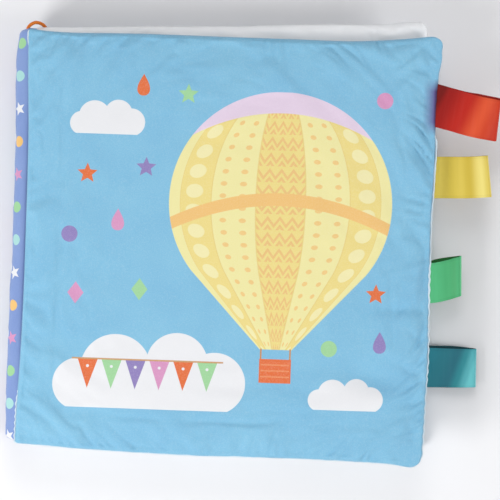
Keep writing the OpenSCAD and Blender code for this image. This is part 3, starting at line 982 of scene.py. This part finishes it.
def spineMaterial():
    material, start = freshMaterial("spineSatin")
    place, x, y = flatMillimetres(start)
    colour, height = clothGround(start, place, x, y, rgba(ink["spine"]), rgba(ink["deepSpine"]))
    rows = [(6.4, 0.0, ("coral", "white", "green", "paleYellow", "pink")),
            (-6.4, 6.2, ("green", "pink", "ochre", "white", "mint"))]
    for level, shift, colours in rows:
        px = x - shift + 124
        number = px.calc("FLOOR", px / 12.4) % 5
        local = px % 12.4 - 6.2
        ly = y - level
        odd = number % 2 > 0.5
        shape = odd * starShape(local, ly, 2.5) + (1 - odd) * (2.1 - x.calc("SQRT", local * local + ly * ly))
        stops = [(k / 5, linear(ink[c])) for k, c in enumerate(colours)]
        flag = x.make("ValToRGB", {"steps": stops}, {0: (number + 0.5) / 5})
        colour = colour.under(flag, inked(shape))
    px = x - 1.6 + 124 + 6.2
    number = px.calc("FLOOR", px / 12.4)
    level = (number % 2 - 0.5) * 4.2
    local = px % 12.4 - 6.2
    ly = y + level
    inRow = least(abs(x - 1.6) * -1 + 74.4, 2.1 - x.calc("SQRT", local * local + ly * ly))
    colour = colour.under(rgba(ink["white"]), inked(inRow))
    closeMaterial(start, colour, height, satinFinish, 0.35)
    return material


strip, stripWidth = stripOfCloth("spineCloth", spineStrip)
dress(strip, spineMaterial(), "book_block", ["spine_strip", "spine_print"])
print("spine strip made")


# Bound edge and its stitches

boundEdge = {
    "x": (-79.1, -73.4), "z": (9.1, 16.1), "foot": -70.4, "head": 73.6, "rows": 150, "sides": 40,
}


def softBar(name, spec):                          # the gathered cloth that the leaves are sewn into
    cx, cz = sum(spec["x"]) / 2, sum(spec["z"]) / 2
    hx, hz = (spec["x"][1] - spec["x"][0]) / 2, (spec["z"][1] - spec["z"][0]) / 2
    points, faces = [], []
    for row in range(spec["rows"] + 1):
        y = spec["foot"] + row / spec["rows"] * (spec["head"] - spec["foot"])
        end = min(y - spec["foot"], spec["head"] - y)
        shrink = 0.55 + 0.45 * sqrt(max(0, 1 - (1 - min(end / 2.5, 1)) ** 2))
        for k in range(spec["sides"]):
            angle = 2 * pi * k / spec["sides"]
            c, s = cos(angle), sin(angle)
            squared = (abs(c) ** 5 + abs(s) ** 5) ** (-1 / 5)
            gather = 1 - 0.035 * (0.5 + 0.5 * cos(2 * pi * y / 6.6 + 0.8 * wander(y, angle * 3, 44, 8)))
            r = squared * shrink * gather
            points.append(((cx + hx * r * c) * mm, y * mm, (cz + hz * r * s) * mm))
    sides = spec["sides"]
    for row in range(spec["rows"]):
        for k in range(sides):
            a, b = row * sides + k, row * sides + (k + 1) % sides
            faces.append((a, a + sides, b + sides, b))
    faces.append(tuple(range(sides)))
    faces.append(tuple(len(points) - 1 - k for k in range(sides)))
    return addMesh(name, points, faces)


bar = softBar("boundEdge", boundEdge)
dress(bar, pageMaterial, "book_block", ["pages"])

stitches = {
    "x": -78.1, "z": 16.05, "middle": 1.6, "pitch": 6.6, "count": 20, "length": 4.2, "thick": 0.62,
}


def threadStitches(name, spec):
    bpy.ops.object.select_all(action="DESELECT")
    bpy.ops.mesh.primitive_cylinder_add(
        vertices=12, radius=spec["thick"] / 2 * mm, depth=spec["length"] * 0.5 * mm,
        location=(spec["x"] * mm, 0, (spec["z"] + 0.18) * mm), rotation=(pi / 2, 0, 0))
    first = bpy.context.object
    bpy.ops.object.transform_apply(location=True, rotation=True, scale=True)
    for way in (1, -1):
        for out, drop, size in ((0.55, -0.07, 0.94), (0.4, -0.16, 0.8), (0.15, -0.12, 0.5)):
            bpy.ops.object.mode_set(mode="EDIT")
            bpy.ops.mesh.select_mode(type="FACE")
            bpy.ops.mesh.select_all(action="DESELECT")
            bpy.ops.object.mode_set(mode="OBJECT")
            tip = max(first.data.polygons, key=lambda face: way * face.center.y + way * face.normal.y * mm)
            tip.select = True
            bpy.ops.object.mode_set(mode="EDIT")
            move = (0, way * out * mm, drop * mm)
            bpy.ops.mesh.extrude_region_move(TRANSFORM_OT_translate={"value": move})
            bpy.ops.transform.resize(value=(size, size, size))
    bpy.ops.object.mode_set(mode="OBJECT")
    first.name = name
    row = []
    for k in range(spec["count"]):
        copy = first.copy()
        copy.data = first.data.copy()
        y = spec["middle"] + (k - (spec["count"] - 1) / 2) * spec["pitch"]
        for vertex in copy.data.vertices:
            vertex.co.x += 0.12 * mm * wander(k * 9, 0, 51, 5)
            vertex.co.y += y * mm
        world.objects.link(copy)
        row.append(copy)
    bpy.data.objects.remove(first)
    pick(row[0])
    for copy in row:
        copy.select_set(True)
    bpy.ops.object.join()
    row[0].name = name
    return row[0]


thread = threadStitches("bindingThread", stitches)
dress(thread, threadMaterial, "book_block", ["binding_stitches"])
print("bound edge and stitches made")


# Ribbon tabs

# out runs from the seam to the fold, across runs towards the head; mm
# Each tab's tone runs from the seam to the fold: the ribbon's own colour with painted shade near the seam,
# under the cover's edge, and painted sheen highlights along the ribbon and near the fold; skew slants these
# painted highlights across the ribbon.
tabs = {
    "redTab": {
        "seam": (77.0, 56.1, 22.1), "lean": -9, "tail": 3, "wide": 16.0, "reach": 24.7, "fold": 0.85,
        "upper": [(-3, 0.15), (0, 0.2), (2, 0.4), (6, 1.2), (14, 1.9), (20, 1.5), (23.2, 0.85)],
        "lower": [(-3, -0.25), (0, -0.35), (6, -0.7), (14, -0.8), (20, -1.0), (23.2, -0.85)],
        "bow": [(-3, 0.2), (0, 0.15), (5, -0.3), (8, -0.55), (12, -1.0), (17, -1.3), (24, -1.2)],
        "shift": [(-3, 0), (8, 0.2), (12, 0.5), (16, 0.95), (24, 0.9)],
        "slant": -0.05, "narrow": 0.4, "tilt": 0.05,
        "node": "red_ribbon_tab", "slot": "red_ribbon", "body": "front_cover",
        "tone": [(0.0, "#760a06"), (0.12, "#9c130c"), (0.45, "#be2416"), (0.72, "#e0552f"),
                 (0.9, "#d0401f"), (1.0, "#c8381f")],
        # back, in every tab: the colour of the lower layer past the fold, darker than tone as painted shade
        # under the upper layer
        "back": "#b0241a", "skew": 0.3,
    },
    "yellowTab": {
        "seam": (72.8, 28.6, 15.7), "lean": 2.4, "tail": 3, "wide": 15.8, "reach": 26.4, "fold": 1.0,
        "upper": [(-3, 0.25), (0, 0.4), (8, 1.3), (16, 1.7), (22, 1.5), (25, 1.0)],
        "lower": [(-3, -0.25), (0, -0.4), (8, -0.8), (16, -0.9), (25, -1.0)],
        "bow": [(-3, 0.3), (8, 0.3), (16, 0.2), (22, 0.35), (26, 0.6)],
        "shift": [(-3, 0), (26, 0.1)],
        "slant": -0.05, "narrow": 0, "tilt": 0.0,
        "node": "yellow_ribbon_tab", "slot": "yellow_ribbon", "body": "book_block",
        "tone": [(0.0, "#fff48a"), (0.22, "#f8e06a"), (0.42, "#dac24e"), (0.58, "#dfc756"), (0.7, "#d4ba46"),
                 (0.88, "#f5e482"), (0.97, "#e4ce62"), (1.0, "#ecd66c")],
        "back": "#b89c33", "skew": 0.0,
    },
    "greenTab": {
        "seam": (72.8, -10.9, 9.5), "lean": 6.5, "tail": 3, "wide": 15.2, "reach": 17.6, "fold": 1.1,
        "upper": [(-3, 0.25), (0, 0.5), (5, 1.7), (10, 2.1), (13.5, 1.7), (15.1, 1.1)],
        "lower": [(-3, -0.25), (0, -0.5), (6, -1.2), (11, -1.2), (15.1, -1.1)],
        "bow": [(-3, 0.2), (3, -0.6), (7, -0.75), (12, -0.1), (17, 0.9)],
        "shift": [(-3, 0.0), (2.5, 0.05), (5, 0.55), (8, 1.2), (12, 1.05), (17, 0.3)],
        "slant": 0.07, "narrow": 0, "tilt": 0.0,
        "node": "green_ribbon_tab", "slot": "green_ribbon", "body": "book_block",
        "tone": [(0.0, "#74f0a2"), (0.35, "#6cdf9a"), (0.7, "#58c482"), (0.85, "#4fb877"), (0.95, "#60ca8a"),
                 (1.0, "#66d092")],
        "back": "#2f7a3c", "skew": 0.0,
    },
    "tealTab": {
        "seam": (77.3, -43.3, 3.1), "lean": 0.6, "tail": 3, "wide": 15.2, "reach": 20.2, "fold": 1.0,
        "upper": [(-3, 0.25), (0, 0.4), (6, 1.2), (12, 1.5), (16, 1.4), (18.3, 1.0)],
        "lower": [(-3, -0.25), (0, -0.4), (6, -0.9), (12, -1.1), (18.3, -1.0)],
        "bow": [(-3, -0.3), (6, -0.2), (12, -0.2), (19, -0.1)],
        "shift": [(-3, 0.7), (6, 0.9), (12, 0.95), (19, 0.3)],
        "slant": 0.0, "narrow": 0.5, "tilt": -0.02,
        "node": "teal_ribbon_tab", "slot": "teal_ribbon", "body": "back_cover",
        "tone": [(0.0, "#308c9c"), (0.3, "#2f818f"), (0.55, "#2e7888"), (0.72, "#3796a0"), (0.86, "#5cbac2"),
                 (0.96, "#6fcfd4"), (1.0, "#6fcfd4")],
        "back": "#1d4d55", "skew": 0.35,
    },
}


def ribbonTab(name, tab):                         # one ribbon: upper layer, fold, lower layer
    fold = tab["reach"] - tab["fold"]
    side = [(out, track(tab["upper"], out)) for out in np.linspace(-tab["tail"], fold, 40)]
    side += [(fold + tab["fold"] * sin(a), tab["fold"] * cos(a)) for a in np.linspace(0.25, pi - 0.25, 12)]
    side += [(out, track(tab["lower"], out)) for out in np.linspace(fold, -tab["tail"], 40)]
    runs = [0.0]
    for a, b in zip(side, side[1:]):
        runs.append(runs[-1] + hypot(b[0] - a[0], b[1] - a[1]))
    across = 24
    lean = radians(tab["lean"])
    points, flat, faces = [], [], []
    for k, (out, up) in enumerate(side):
        below = min(1, max(0, (k - 40) / 12))
        offset = track(tab["bow"], out) + track(tab["shift"], out) * below
        share = max(0, out) / tab["reach"]        # 0 at the seam, 1 at the fold
        for j in range(across + 1):
            w = (j / across - 0.5) * (tab["wide"] - tab["narrow"] * share)
            o = out * (1 + tab["slant"] * (w / tab["wide"]) * share)
            a = w + offset
            edge = 0.05 * wander(runs[k], j, 60, 3)
            z = up + tab["tilt"] * w * share + 0.08 * wander(runs[k], w, 61, 6) + edge
            points.append(((tab["seam"][0] + o * cos(lean) - a * sin(lean)) * mm,
                           (tab["seam"][1] + o * sin(lean) + a * cos(lean)) * mm, (tab["seam"][2] + z) * mm))
            flat.append((w * mm, (runs[k] - tab["tail"]) * mm))
    wide = across + 1
    for k in range(len(side) - 1):
        for j in range(across):
            a = k * wide + j
            faces.append((a, a + wide, a + wide + 1, a + 1))
    ribbon = addMesh(name, points, faces)
    layer = ribbon.data.uv_layers.new(name="flat")
    for corner in ribbon.data.loops:
        layer.data[corner.index].uv = flat[corner.vertex_index]
    finishWith(ribbon, "SUBSURF", levels=1, render_levels=1)
    wall(ribbon, 0.28)
    return ribbon, runs[-1]


def ribbonMaterial(name, tab):
    material, start = freshMaterial(name)
    place, w, run = flatMillimetres(start)
    reach = tab["reach"]
    bands = start.make("CombineXYZ", None, {0: w * 0.04, 1: run * 0.55})
    paintedSheenBands = speckle(start, bands, 1.0, 2.0)
    warp = start.make("CombineXYZ", None, {0: w * 5.5, 1: run * 0.25})
    threads = speckle(start, warp, 1.0, 2.0)
    # the tone ramp paints shade near the seam and sheen highlights along the ribbon
    place01 = (run - w * tab["skew"]) / reach
    stops = [(p, linear(c)) for p, c in tab["tone"]]
    tone = start.make("ValToRGB", {"stops": stops}, {0: place01})
    # past the fold the lower layer takes the back colour: painted shade under the upper layer
    colour = tone.under(rgba(tab["back"]), inked(run - reach - 0.9, 1.2))
    # random bands of painted shade and painted sheen across the satin
    colour = colour.under((0.0, 0.0, 0.0, 1), most(paintedSheenBands - 0.5, 0) * 0.16)
    colour = colour.under((1.0, 1.0, 1.0, 1), most(0.5 - paintedSheenBands, 0) * 0.03)
    # a darker line near the fold: painted shade in the fold
    colour = colour.under(rgba(tab["back"]), inked(0.3 - abs(run - 0.985 * reach), 0.4) * 0.3)
    edge = tab["wide"] / 2 - abs(w)
    woven = inked(0.95 - edge, 0.15)
    line = inked(0.14 - abs(edge - 0.95), 0.12)
    colour = colour.under((0.0, 0.0, 0.0, 1), line * 0.05 + woven * 0.03)
    ribs = run.calc("SINE", run * (2 * pi / 0.42)) * (0.35 + woven * 0.5)
    height = threads * 0.7 + ribs - line * 0.3 + woven * 0.2
    rough = 0.36 + threads * 0.16 + woven * 0.2
    finish = {"Specular IOR Level": 0.28, "Sheen Weight": 0.04, "Sheen Roughness": 0.35}
    closeMaterial(start, colour, height, finish, 0.3, 0.0001, rough)
    return material


for name, tab in tabs.items():
    ribbon, length = ribbonTab(name, tab)
    dress(ribbon, ribbonMaterial(name + "Satin", tab), tab["body"], [tab["node"]])
    print(name, "made from %.1f mm of ribbon" % length)


# The loop's braid

cordMaterial, start = freshMaterial("braidedOrange")
place, w, run = flatMillimetres(start)
fibre = speckle(start, place, 3.5, 3.0)
around = w * (2 / loop["thick"])
along = run * (2 * pi / loop["braid"])
braid = abs(around.calc("COSINE", (around + along) * 2)) * abs(around.calc("COSINE", (around - along) * 2))
# the braid's crests are painted lighter and the hollows between its strands darker: painted highlight and
# painted shade
colour = start.make("Mix", {"data_type": "RGBA"}, {0: braid * 0.8 + fibre * 0.3, 6: rgba("#c8560e"),
                                                   7: rgba("#ff962e")}, out=2)
closeMaterial(start, colour, braid + fibre * 0.4, softFinish, 0.5)
hangingCord.data.materials.append(cordMaterial)
smooth(hangingCord)


# Table and light

floorMaterial, start = freshMaterial("paleTable")
place, x, y, z = objectMillimetres(start)
tone = speckle(start, place, 0.004, 1.0)
colour = start.make("Mix", {"data_type": "RGBA"}, {0: tone, 6: rgba("#efeff1"), 7: rgba("#f2f2f4")}, out=2)
closeMaterial(start, colour, speckle(start, place, 0.6), {"Roughness": 0.85}, 0.05)
bpy.ops.mesh.primitive_plane_add(size=6, location=(0, 0, -0.0002))
table = bpy.context.object
table.name = "table"
table.data.materials.append(floorMaterial)

light = {
    "key": {"at": (-0.55, -0.4, 0.5), "size": 0.3, "power": 4.0},
    "side": {"at": (0.95, -0.25, 0.62), "size": 0.4, "power": 4.3},
    "back": {"at": (-0.05, 0.95, 1.1), "size": 0.6, "power": 3.2},
    "sky": 0.47,
}
for name in ("key", "side", "back"):
    spec = light[name]
    lamp = bpy.data.lights.new(name, "AREA")
    lamp.energy = spec["power"]
    lamp.size = spec["size"]
    lampObject = bpy.data.objects.new(name, lamp)
    world.objects.link(lampObject)
    lampObject.location = spec["at"]
    lampObject.rotation_euler = (-Vector(spec["at"])).to_track_quat("-Z", "Y").to_euler()
sky = bpy.data.worlds.new("studio")
sky.use_nodes = True
sky.node_tree.nodes["Background"].inputs[0].default_value = (0.99, 0.99, 1.0, 1)
sky.node_tree.nodes["Background"].inputs[1].default_value = light["sky"]
bpy.context.scene.world = sky
bpy.context.scene.view_settings.view_transform = "Standard"
print("table and light set")
